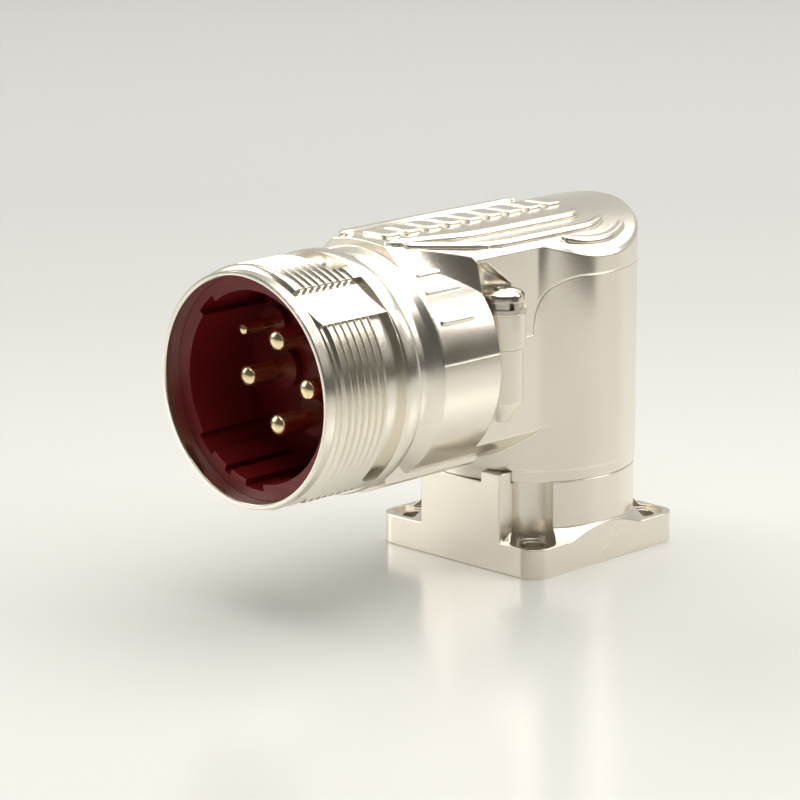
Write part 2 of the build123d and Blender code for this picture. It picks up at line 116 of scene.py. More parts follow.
class Shader:
    """A material under construction."""

    def __init__(self, name: str) -> None:
        """Starts an empty node material.

        Args:
            name: The material's name.
        """
        self.material = bpy.data.materials.new(name)
        self.material.use_nodes = True
        self.tree = self.material.node_tree
        self.tree.nodes.clear()

    def add(self, kind: str, settings: dict[str, Any] | None = None,
            values: dict[str | int, Any] | None = None) -> bpy.types.Node:
        """Adds any node.

        Args:
            kind: The node's type.
            settings: Its attributes, set first.
            values: Its inputs' values or links.

        Returns:
            The node.
        """
        node = self.tree.nodes.new(kind)
        for key, setting in (settings or {}).items():
            if key == "stops":
                self._stops(node.color_ramp, setting)
            else:
                setattr(node, key, setting)
        for key, value in (values or {}).items():
            if isinstance(value, Value):
                self.tree.links.new(value.socket, node.inputs[key])
            elif isinstance(value, bpy.types.NodeSocket):
                self.tree.links.new(value, node.inputs[key])
            else:
                node.inputs[key].default_value = value
        return node

    @staticmethod
    def _stops(ramp: bpy.types.ColorRamp, stops: Sequence[tuple[float, tuple[float, ...]]]) -> None:
        """Sets a colour ramp's stops.

        Args:
            ramp: The ramp.
            stops: Its places and colours, in order.
        """
        while len(ramp.elements) < len(stops):
            ramp.elements.new(0.5)
        for element, (place, colour) in zip(ramp.elements, stops):
            element.position = place
            element.color = colour

    def value(self, node: bpy.types.Node, output: str) -> Value:
        """An output of a node as a Value."""
        return Value(self.tree, node.outputs[output])

    def place(self) -> bpy.types.NodeSocket:
        """Object coordinates."""
        return self.add("ShaderNodeTexCoord").outputs["Object"]

    def noise(self, scale: float, detail: float = 2.0, roughness: float = 0.5,
              stretch: tuple[float, float, float] = (1.0, 1.0, 1.0)) -> Value:
        """Noise over the piece.

        Args:
            scale: Waves per metre.
            detail: Octaves.
            roughness: Weight of the fine octaves.
            stretch: Scale along each axis.

        Returns:
            The noise, about 0 to 1.
        """
        mapping = self.add("ShaderNodeMapping", values={"Vector": self.place(), "Scale": stretch})
        node = self.add("ShaderNodeTexNoise", values={
            "Vector": mapping.outputs[0], "Scale": scale, "Detail": detail, "Roughness": roughness})
        return self.value(node, "Fac")

    def finish(self, surface: bpy.types.NodeSocket) -> bpy.types.Material:
        """Connects the surface to the output.

        Args:
            surface: The shader socket.

        Returns:
            The finished material.
        """
        self.add("ShaderNodeOutputMaterial", values={"Surface": surface})
        return self.material


@dataclass(frozen=True)
class PlatedMetal:
    """Satin nickel over a casting or a turned piece."""

    name: str
    colour: tuple[float, float, float]
    roughness: float
    grain_scale: float
    grain_depth: float
    grain_stretch: tuple[float, float, float] = (1.0, 1.0, 1.0)
    edge_round: float = 0.0
    cloud_scale: float = 90.0
    cloud_depth: float = 0.1

    def build(self) -> bpy.types.Material:
        """Makes the material.

        Returns:
            A metal with a fine uneven skin and softened edges.
        """
        shader = Shader(self.name)
        skin = shader.noise(self.grain_scale, 3.0, 0.6, self.grain_stretch)
        cloud = shader.noise(self.cloud_scale)
        height = shader.add("ShaderNodeBump", values={
            "Strength": 1.0, "Distance": self.grain_depth, "Height": skin})
        if self.edge_round:
            edge = shader.add("ShaderNodeBevel", {"samples": 6}, {"Radius": self.edge_round})
            shader.tree.links.new(edge.outputs[0], height.inputs["Normal"])
        surface = shader.add("ShaderNodeBsdfPrincipled", values={
            "Base Color": (*self.colour, 1.0), "Metallic": 1.0,
            "Roughness": cloud * self.cloud_depth + (self.roughness - self.cloud_depth / 2),
            "Normal": height.outputs[0]})
        return shader.finish(surface.outputs[0])


@dataclass(frozen=True)
class MouldedPlastic:
    """Moulded plastic or rubber."""

    name: str
    colour: tuple[float, float, float]
    roughness: float
    specular: float = 0.5
    grain_scale: float = 2500.0
    grain_depth: float = 0.00001
    cloud_depth: float = 0.08

    def build(self) -> bpy.types.Material:
        """Makes the material.

        Returns:
            A plastic with a faint mould texture.
        """
        shader = Shader(self.name)
        skin = shader.noise(self.grain_scale)
        height = shader.add("ShaderNodeBump", values={
            "Strength": 0.6, "Distance": self.grain_depth, "Height": skin})
        surface = shader.add("ShaderNodeBsdfPrincipled", values={
            "Base Color": (*self.colour, 1.0), "Specular IOR Level": self.specular,
            "Roughness": skin * self.cloud_depth + (self.roughness - self.cloud_depth / 2),
            "Normal": height.outputs[0]})
        return shader.finish(surface.outputs[0])


FINISHES: dict[Slot, Any] = {
    Slot.CASTING: PlatedMetal("satin_nickel_casting", (0.89, 0.84, 0.75), roughness=0.25,
                              grain_scale=1500.0, grain_depth=0.000007, edge_round=0.0004),
    Slot.BARREL: PlatedMetal("satin_nickel_turned", (0.88, 0.84, 0.75), roughness=0.22,
                             grain_scale=900.0, grain_depth=0.000015, grain_stretch=(1.0, 8.0, 1.0)),
    Slot.INSERT: MouldedPlastic("red_insert_plastic", (0.17, 0.005, 0.007), roughness=0.40),
    Slot.CONTACT: PlatedMetal("gold_plate", (0.95, 0.80, 0.50), roughness=0.24,
                              grain_scale=1200.0, grain_depth=0.000008),
    Slot.SCREW: PlatedMetal("bright_screw_plate", (0.78, 0.73, 0.65), roughness=0.2,
                            grain_scale=1200.0, grain_depth=0.00001),
    Slot.WASHER: PlatedMetal("washer_plate", (0.66, 0.62, 0.55), roughness=0.3,
                             grain_scale=1200.0, grain_depth=0.00001),
    Slot.SEAL: MouldedPlastic("black_rubber", (0.02, 0.02, 0.02), roughness=0.6, specular=0.3),
}


class Finishes:
    """Every finish, made once."""

    def __init__(self) -> None:
        """Builds the materials."""
        self.made = {slot: finish.build() for slot, finish in FINISHES.items()}

    def dress(self, piece: bpy.types.Object, slot: Slot) -> None:
        """Puts a finish on a piece.

        Args:
            piece: The piece.
            slot: The record's material slot.
        """
        piece.data.materials.clear()
        piece.data.materials.append(self.made[slot])


class CadNodes:
    """The CAD nodes that show as they are."""

    def __init__(self, finishes: Finishes) -> None:
        """Keeps the finishes.

        Args:
            finishes: The materials.
        """
        self.finishes = finishes

    def dress(self) -> None:
        """Gives each node its record's finish."""
        for part in frame["record"]["subparts"]:
            node = frame["nodes"][part["node"]]
            self.finishes.dress(node, Slot(part["material_slot"]))
            log.info("dressed %s", part["node"])


class Bench:
    """Modelling steps that several pieces share."""

    @staticmethod
    def clear() -> None:
        """Deselects everything, in object mode."""
        if bpy.context.object and bpy.context.object.mode != "OBJECT":
            bpy.ops.object.mode_set(mode="OBJECT")
        bpy.ops.object.select_all(action="DESELECT")

    @staticmethod
    def turned(name: str, points: Sequence[tuple[float, float]], segments: int,
               closed: bool = False) -> bpy.types.Object:
        """Turns a profile about local Z.

        Args:
            name: The piece's name.
            points: The profile as (radius, height) in millimetres.
            segments: The number of points round the axis.
            closed: Whether the profile's last point meets its first.

        Returns:
            The piece, in object mode.
        """
        Bench.clear()
        radius, height = points[0]
        bpy.ops.mesh.primitive_circle_add(vertices=segments, radius=radius * MM, fill_type="NOTHING",
                                          location=(0.0, 0.0, height * MM))
        piece = bpy.context.object
        piece.name = name
        bpy.ops.object.transform_apply(location=True, rotation=True, scale=True)
        bpy.ops.object.mode_set(mode="EDIT")
        bpy.ops.mesh.select_all(action="SELECT")
        for next_radius, next_height in points[1:]:
            step = Vector((0.0, 0.0, (next_height - height) * MM))
            bpy.ops.mesh.extrude_region_move(TRANSFORM_OT_translate={"value": step})
            factor = next_radius / radius
            bpy.ops.transform.resize(value=(factor, factor, 1.0),
                                     center_override=(0.0, 0.0, next_height * MM))
            radius, height = next_radius, next_height
        if closed:
            Bench.join_ends()
        else:
            Bench.cap_ends()
        Bench.outward()
        return piece

    @staticmethod
    def cap_ends() -> None:
        """Fills the open rings of a piece."""
        bpy.ops.mesh.select_mode(type="EDGE")
        bpy.ops.mesh.select_all(action="DESELECT")
        bpy.ops.mesh.select_non_manifold()
        bpy.ops.mesh.edge_face_add()

    @staticmethod
    def sector(points: Sequence[tuple[float, float]], start: float, sweep: float,
               steps: int) -> bpy.types.Object:
        """Spins a rectangle about local Z.

        Args:
            points: Two opposite corners as (radius, height) in millimetres.
            start: The first angle in degrees.
            sweep: The angle that it spans, in degrees.
            steps: The number of steps.

        Returns:
            The closed sector, in object mode.
        """
        Bench.clear()
        (inner, low), (outer, high) = points
        centre = (0.0, 0.0, 0.0)
        size = ((outer - inner) * MM, (high - low) * MM, 1.0)
        bpy.ops.mesh.primitive_plane_add(size=1.0)
        piece = bpy.context.object
        bpy.ops.object.mode_set(mode="EDIT")
        bpy.ops.transform.resize(value=size, center_override=centre)
        bpy.ops.transform.rotate(value=math.radians(90.0), orient_axis="X", center_override=centre)
        bpy.ops.transform.translate(value=((outer + inner) / 2 * MM, 0.0, (high + low) / 2 * MM))
        bpy.ops.mesh.spin(steps=steps, angle=-math.radians(sweep), center=centre, axis=(0.0, 0.0, 1.0))
        Bench.outward()
        piece.data.transform(Matrix.Rotation(math.radians(start), 4, "Z"))
        return piece

    @staticmethod
    def sweep(name: str, points: Sequence[Vector], half_size: tuple[float, float]) -> bpy.types.Object:
        """Sweeps an ellipse along a path, with rounded ends.

        Args:
            name: The piece's name.
            points: The path, in metres, with three close points at each end.
            half_size: The ellipse's half width and half height, in millimetres.

        Returns:
            The piece, in object mode.
        """
        Bench.clear()
        origin = Vector((0.0, 0.0, 0.0))
        ends = [0.35, 0.75, 1.0]
        scales = ends + [1.0] * (len(points) - 2 * len(ends)) + ends[::-1]
        steps = [second - first for first, second in zip(points, points[1:])]
        headings = [math.atan2(step.y, step.x) for step in steps]
        turns = [headings[0]] + [(first + second) / 2 for first, second in zip(headings, headings[1:])]
        turns.append(headings[-1])
        bpy.ops.mesh.primitive_circle_add(vertices=20, radius=MM, fill_type="NOTHING")
        piece = bpy.context.object
        piece.name = name
        bpy.ops.object.mode_set(mode="EDIT")
        bpy.ops.mesh.select_all(action="SELECT")
        bpy.ops.transform.rotate(value=math.pi / 2, orient_axis="X", center_override=origin)
        bpy.ops.transform.resize(value=(half_size[0] * scales[0], 1.0, half_size[1] * scales[0]),
                                 center_override=origin)
        bpy.ops.transform.rotate(value=-(turns[0] - math.pi / 2), orient_axis="Z", center_override=origin)
        bpy.ops.transform.translate(value=points[0])
        for index, step in enumerate(steps):
            bpy.ops.mesh.extrude_region_move(TRANSFORM_OT_translate={"value": step})
            place = points[index + 1]
            bpy.ops.transform.rotate(value=turns[index] - turns[index + 1], orient_axis="Z",
                                     center_override=place)
            factor = scales[index + 1] / scales[index]
            bpy.ops.transform.resize(value=(factor, factor, factor), center_override=place)
        Bench.cap_ends()
        Bench.outward()
        return piece

    @staticmethod
    def join_ends() -> None:
        """Bridges the two open rings of a turned wall."""
        bpy.ops.mesh.select_mode(type="EDGE")
        bpy.ops.mesh.select_all(action="DESELECT")
        bpy.ops.mesh.select_non_manifold()
        bpy.ops.mesh.bridge_edge_loops()

    @staticmethod
    def outward() -> None:
        """Merges doubles and turns all faces outwards."""
        bpy.ops.mesh.select_all(action="SELECT")
        bpy.ops.mesh.remove_doubles(threshold=1e-7)
        bpy.ops.mesh.normals_make_consistent(inside=False)
        bpy.ops.object.mode_set(mode="OBJECT")

    @staticmethod
    def cut(piece: bpy.types.Object, cutter: bpy.types.Object, operation: str = "DIFFERENCE") -> None:
        """Cuts a piece with another, or joins them, and removes the other.

        Args:
            piece: The piece that stays.
            cutter: The piece that is used up.
            operation: The Boolean modifier's operation.
        """
        Bench.activate(piece)
        modifier = piece.modifiers.new("cut", "BOOLEAN")
        modifier.operation = operation
        modifier.solver = "EXACT"
        modifier.object = cutter
        bpy.ops.object.modifier_apply(modifier=modifier.name)
        bpy.data.objects.remove(cutter, do_unlink=True)

    @staticmethod
    def activate(piece: bpy.types.Object) -> None:
        """Makes a piece the only one selected, and the active one."""
        Bench.clear()
        bpy.context.view_layer.objects.active = piece
        piece.select_set(True)

    @staticmethod
    def copy(pattern: bpy.types.Object, name: str) -> bpy.types.Object:
        """Copies a piece with a mesh of its own.

        Args:
            pattern: The piece.
            name: The copy's name.

        Returns:
            The copy.
        """
        piece = pattern.copy()
        piece.data = pattern.data.copy()
        piece.name = name
        bpy.context.collection.objects.link(piece)
        return piece

    @staticmethod
    def smooth(piece: bpy.types.Object, angle: float = 30.0) -> None:
        """Smooths faces that meet at less than an angle.

        Args:
            piece: The piece.
            angle: The angle in degrees.
        """
        Bench.activate(piece)
        bpy.ops.object.shade_smooth_by_angle(angle=math.radians(angle))


@dataclass
class BarrelFrame:
    """The coupling barrel's own frame: local Z is the reach along -Y."""

    axis_height: float = 38.5

    def turn(self, angle: float = 0.0) -> Matrix:
        """The matrix from the local frame to the part's frame.

        Args:
            angle: A turn about the barrel's axis, in degrees.

        Returns:
            The matrix.
        """
        return (Matrix.Translation((0.0, 0.0, self.axis_height * MM))
                @ Matrix.Rotation(math.radians(90.0), 4, "X")
                @ Matrix.Rotation(math.radians(angle), 4, "Z"))


@dataclass
class CouplingBarrel:
    """The threaded barrel, with real turns in three sectors.

    Radii and reaches are in millimetres. A reach is the distance from the
    swivel axis, along -Y.
    """

    finishes: Finishes
    place: BarrelFrame
    thread_r: float = 20.0
    root_r: float = 19.12
    pitch: float = 1.5
    groove_halves: tuple[float, float] = (0.16, 0.70)
    line_root_r: float = 18.97
    line_halves: tuple[float, float] = (0.035, 0.05)
    first_crest: float = 63.8
    crest_angle: float = 39.0
    plain_sweep: float = 21.9
    thread_front: float = 65.3
    thread_rear: float = 54.0
    groove_r: float = 18.8
    groove_rear: float = 50.4
    groove_front: float = 54.3
    collar_r: float = 20.25
    collar_rear: float = 46.6
    rim_reach: float = 67.4
    mouth_r: float = 18.45
    mouth_floor: float = 62.4
    lip_r: float = 19.3
    lip_rear: float = 65.6
    relief_r: float = 18.95
    cavity_r: float = 17.3
    cavity_floor: float = 48.2
    sleeve_r: float = 16.8
    sleeve_rear: float = 31.0
    bore_r: float = 15.0
    clip_r: float = 15.6
    clip_rear: float = 32.8
    clip_front: float = 34.0
    flat_distance: float = 19.05
    flat_angle: float = 56.75
    flat_wall: float = 1.42
    flat_rear: float = 50.4
    flat_block: tuple[float, float] = (3.0, 8.0)
    groove_start: float = 70.0
    groove_sweep: float = 89.0
    sectors: int = 3
    spare: float = 1.0
    segments: int = 288
    turn_steps: int = 192

    def profile(self) -> list[tuple[float, float]]:
        """The wall's corners as (radius, reach), from the mouth round the outside.

        Returns:
            The corners.
        """
        rim, lip, thread, collar = self.rim_reach, self.lip_rear, self.thread_r, self.collar_r
        mouth, rear, end = self.mouth_r, self.collar_rear, self.sleeve_rear
        lip_corners = [
            (mouth, rim - 0.2), (mouth + 0.15, rim - 0.03), (mouth + 0.45, rim),
            (self.lip_r - 0.15, rim - 0.04), (self.lip_r, rim - 0.2), (self.lip_r, lip)]
        thread_corners = [
            (self.relief_r, lip - 0.15), (self.relief_r, lip - 0.45), (thread - 0.4, lip - 0.85),
            (thread - 0.07, lip - 1.18), (thread, lip - 1.4), (thread, self.groove_rear)]
        collar_corners = [
            (thread, self.groove_rear - 0.1), (collar - 0.12, self.groove_rear - 0.28),
            (collar - 0.02, self.groove_rear - 0.6), (collar, rear + 2.1), (collar - 0.02, rear + 1.2),
            (collar - 0.17, rear + 0.6), (collar - 0.5, rear + 0.2), (collar - 0.95, rear + 0.02),
            (collar - 1.75, rear)]
        sleeve_corners = [
            (self.sleeve_r, rear), (self.sleeve_r, end + 0.5), (self.sleeve_r - 0.5, end),
            (self.bore_r, end), (self.bore_r, self.clip_rear), (self.clip_r, self.clip_rear),
            (self.clip_r, self.clip_front), (self.bore_r, self.clip_front)]
        cavity_corners = [
            (self.bore_r, self.cavity_floor), (self.cavity_r, self.cavity_floor),
            (self.cavity_r, self.mouth_floor), (mouth, self.mouth_floor)]
        return lip_corners + thread_corners + collar_corners + sleeve_corners + cavity_corners

    def turns(self, root_r: float, halves: tuple[float, float]) -> bpy.types.Object:
        """Makes a helical cutter.

        Args:
            root_r: The radius that it reaches down to.
            halves: Half its width at the root and at the mouth.

        Returns:
            The cutter about local Z, a coiled bar with a trapezoid section.
        """
        Bench.clear()
        bpy.ops.mesh.primitive_plane_add(size=1.0)
        piece = bpy.context.object
        bpy.ops.object.mode_set(mode="EDIT")
        mesh = bmesh.from_edit_mesh(piece.data)
        outer = self.thread_r + 0.08
        section = [(root_r, -halves[0]), (outer, -halves[1]), (outer, halves[1]), (root_r, halves[0])]
        for vertex, (radius, along) in zip(mesh.faces[:][0].verts[:], section):
            vertex.co = Vector((radius, 0.0, along)) * MM
        bmesh.update_edit_mesh(piece.data)
        bpy.ops.mesh.select_all(action="SELECT")
        bpy.ops.mesh.delete(type="ONLY_FACE")
        bpy.ops.object.mode_set(mode="OBJECT")
        count = int((self.thread_front - self.thread_rear) / self.pitch) + 1
        screw = piece.modifiers.new("turns", "SCREW")
        screw.axis = "Z"
        screw.angle = math.radians(360.0)
        screw.screw_offset = self.pitch * MM
        screw.iterations = count
        screw.steps = screw.render_steps = self.turn_steps
        screw.use_merge_vertices = False
        bpy.ops.object.modifier_apply(modifier=screw.name)
        bpy.ops.object.mode_set(mode="EDIT")
        Bench.cap_ends()
        Bench.outward()
        start = self.first_crest - (count - 0.5) * self.pitch
        turned = Matrix.Rotation(math.radians(self.crest_angle), 4, "Z")
        piece.data.transform(Matrix.Translation((0.0, 0.0, start * MM)) @ turned)
        return piece

    def plain_sectors(self) -> bpy.types.Object:
        """Makes the sectors where the thread is cut down to fine lines.

        Returns:
            The sectors about local Z, as one piece.
        """
        corners = [(self.root_r - self.spare, self.thread_rear - 5.0 * self.spare),
                   (self.thread_r + self.spare, self.thread_front + 3.0 * self.spare)]
        sectors = [Bench.sector(corners, self.crest_angle + turn, self.plain_sweep, 16)
                   for turn in self.sector_turns()]
        Bench.clear()
        for sector in sectors:
            sector.select_set(True)
        bpy.context.view_layer.objects.active = sectors[0]
        bpy.ops.object.join()
        return sectors[0]

    def sector_turns(self) -> list[float]:
        """The turn of each thread sector from the first, in degrees."""
        return [360.0 / self.sectors * index for index in range(self.sectors)]

    def flat(self, turn: float) -> bpy.types.Object:
        """Makes one block that cuts a flat through the thread.

        Args:
            turn: Its angle round the barrel, in degrees.

        Returns:
            The cutter about local Z.
        """
        Bench.clear()
        depth, width = self.flat_block
        size = (depth, width + self.flat_wall, self.thread_front - self.flat_rear)
        place = (self.flat_distance + depth / 2, (self.flat_wall - width) / 2,
                 (self.thread_front + self.flat_rear) / 2)
        bpy.ops.mesh.primitive_cube_add(size=1.0)
        piece = bpy.context.object
        piece.data.transform(Matrix.Diagonal((*[side * MM for side in size], 1.0)))
        piece.data.transform(Matrix.Rotation(math.radians(turn), 4, "Z")
                             @ Matrix.Translation(Vector(place) * MM))
        return piece

    def build(self) -> None:
        """Builds the barrel and puts it on the elbow."""
        piece = Bench.turned("threaded_barrel_dressed", self.profile(), self.segments, closed=True)
        turns = self.turns(self.root_r, self.groove_halves)
        Bench.cut(turns, self.plain_sectors())
        Bench.cut(piece, turns)
        groove = [(self.groove_r, self.groove_rear), (self.collar_r + self.spare, self.groove_front)]
        for turn in self.sector_turns():
            Bench.cut(piece, self.flat(self.flat_angle + turn))
            Bench.cut(piece, Bench.sector(groove, self.groove_start + turn, self.groove_sweep, 64))
        lines = self.turns(self.line_root_r, self.line_halves)
        Bench.cut(lines, self.plain_sectors(), "INTERSECT")
        Bench.cut(piece, lines)
        piece.data.transform(self.place.turn())
        Bench.smooth(piece)
        self.finishes.dress(piece, Slot.BARREL)
        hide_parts("threaded_barrel")
        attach(piece, "elbow")
        log.info("barrel with its thread: %d faces", len(piece.data.polygons))


@dataclass
class Contacts:
    """Turned pins with domed tips. Sizes are in millimetres and degrees."""

    finishes: Finishes
    place: BarrelFrame
    rim_reach: float = 67.4
    power_r: float = 1.8
    power_circle_r: float = 7.0
    power_depth: float = 6.8
    signal_r: float = 1.0
    signal_circle_r: float = 11.5
    signal_depth: float = 8.0
    plate_rear: float = 34.0
    cup_wall: float = 0.5
    cup_length: float = 7.0
    dome_share: float = 0.62
    power_angles: tuple[tuple[str, float], ...] = (("u", 90.0), ("v", 0.0), ("w", 180.0), ("pe", -90.0))
    signal_angles: tuple[tuple[str, float], ...] = (("1", 140.5), ("2", 39.5))

    def pin(self, name: str, radius: float, depth: float) -> bpy.types.Object:
        """Turns one pin about local Z.

        Args:
            name: The pin's name.
            radius: Its radius.
            depth: How far its tip lies behind the barrel's rim.

        Returns:
            The pin.
        """
        tip = self.rim_reach - depth
        dome = radius * self.dome_share
        cup = radius + self.cup_wall
        tail = self.plate_rear - self.cup_length
        points = [(cup * 0.6, tail), (cup - 0.15, tail), (cup, tail + 0.15), (cup, self.plate_rear),
                  (radius, self.plate_rear), (radius, tip - dome)]
        for angle in (18.0, 36.0, 54.0, 70.0, 82.0):
            turn = math.radians(angle)
            points.append((radius * math.cos(turn), tip - dome * (1.0 - math.sin(turn))))
        return Bench.turned(name, points, 40)

    def build(self) -> None:
        """Makes a pin of each size once and copies it to its places."""
        power = self.pin("power_contact", self.power_r, self.power_depth)
        signal = self.pin("signal_contact", self.signal_r, self.signal_depth)
        places = [(power, self.power_circle_r, f"power_contact_{name}", angle)
                  for name, angle in self.power_angles]
        places += [(signal, self.signal_circle_r, f"signal_contact_{name}", angle)
                   for name, angle in self.signal_angles]
        for pattern, circle, node, angle in places:
            piece = Bench.copy(pattern, f"{node}_dressed")
            turn = math.radians(angle)
            across = Vector((circle * math.cos(turn), circle * math.sin(turn), 0.0)) * MM
            piece.data.transform(self.place.turn() @ Matrix.Translation(across))
            Bench.smooth(piece, 40.0)
            self.finishes.dress(piece, Slot.CONTACT)
            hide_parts(node)
            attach(piece, "elbow")
            log.info("pin %s", node)
        for pattern in (power, signal):
            bpy.data.objects.remove(pattern, do_unlink=True)


@dataclass
class CoverScrews:
    """Pan head screws with a cross recess. Sizes are in millimetres."""

    finishes: Finishes
    across: float = 15.8
    reach: float = 23.8
    seat: float = 48.9
    foot: float = 32.9
    shank_r: float = 2.0
    head_r: float = 3.65
    head_height: float = 2.1
    recess_length: float = 3.8
    recess_width: float = 0.85
    recess_depth: float = 1.3
    recess_turn: float = 17.0

    def head(self) -> bpy.types.Object:
        """Turns the screw about local Z, with its recess.

        Returns:
            The screw.
        """
        top = self.seat + self.head_height
        side = self.seat + self.head_height * 0.42
        points = [(self.shank_r * 0.7, self.foot), (self.shank_r, self.foot + 0.5),
                  (self.shank_r, self.seat), (self.head_r - 0.15, self.seat),
                  (self.head_r, self.seat + 0.15), (self.head_r, side)]
        for angle in range(12, 90, 11):
            turn = math.radians(angle)
            points.append((self.head_r * math.cos(turn) ** 0.75, side + (top - side) * math.sin(turn)))
        piece = Bench.turned("cover_screw", points, 64)
        for index in range(2):
            Bench.cut(piece, self.recess_bar(top, 45.0 + 90.0 * index))
        return piece

    def recess_bar(self, top: float, turn: float) -> bpy.types.Object:
        """Makes the cutter of one arm of the cross, tapered to its foot.

        Args:
            top: The head's highest point.
            turn: The arm's direction in degrees.

        Returns:
            The cutter.
        """
        Bench.clear()
        bpy.ops.mesh.primitive_plane_add(size=1.0)
        piece = bpy.context.object
        bpy.ops.object.mode_set(mode="EDIT")
        bpy.ops.mesh.select_all(action="SELECT")
        foot = (self.recess_length * 0.45 * MM, self.recess_width * 0.7 * MM, 1.0)
        bpy.ops.transform.resize(value=foot, center_override=(0.0, 0.0, 0.0))
        bpy.ops.transform.translate(value=(0.0, 0.0, (top - self.recess_depth) * MM))
        rise = Vector((0.0, 0.0, (self.recess_depth + 0.4) * MM))
        bpy.ops.mesh.extrude_region_move(TRANSFORM_OT_translate={"value": rise})
        bpy.ops.transform.resize(value=(2.2, 1.5, 1.0), center_override=(0.0, 0.0, (top + 0.4) * MM))
        Bench.outward()
        piece.data.transform(Matrix.Rotation(math.radians(turn), 4, "Z"))
        return piece

    def build(self) -> None:
        """Makes one screw and copies it to both ears."""
        pattern = self.head()
        for side, name in ((1.0, "right"), (-1.0, "left")):
            piece = Bench.copy(pattern, f"cover_screw_{name}_dressed")
            turn = Matrix.Rotation(math.radians(self.recess_turn * side), 4, "Z")
            place = Vector((self.across * side, -self.reach, 0.0)) * MM
            piece.data.transform(Matrix.Translation(place) @ turn)
            Bench.smooth(piece, 35.0)
            self.finishes.dress(piece, Slot.SCREW)
            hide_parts(f"cover_screw_{name}")
            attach(piece, "elbow")
            log.info("screw %s", name)
        bpy.data.objects.remove(pattern, do_unlink=True)


@dataclass(frozen=True)
class LongRib:
    """A rib from the cover's front to an arc at its rear. Sizes are in millimetres and degrees."""

    front_x: float
    front_reach: float
    side_x: float
    bend_reach: float
    arc_end: float
    half_width: float
    half_height: float


@dataclass(frozen=True)
class RearRib:
    """A rib that is an arc only. Sizes are in millimetres and degrees."""

    radius: float
    start: float
    end: float
    half_width: float
    half_height: float


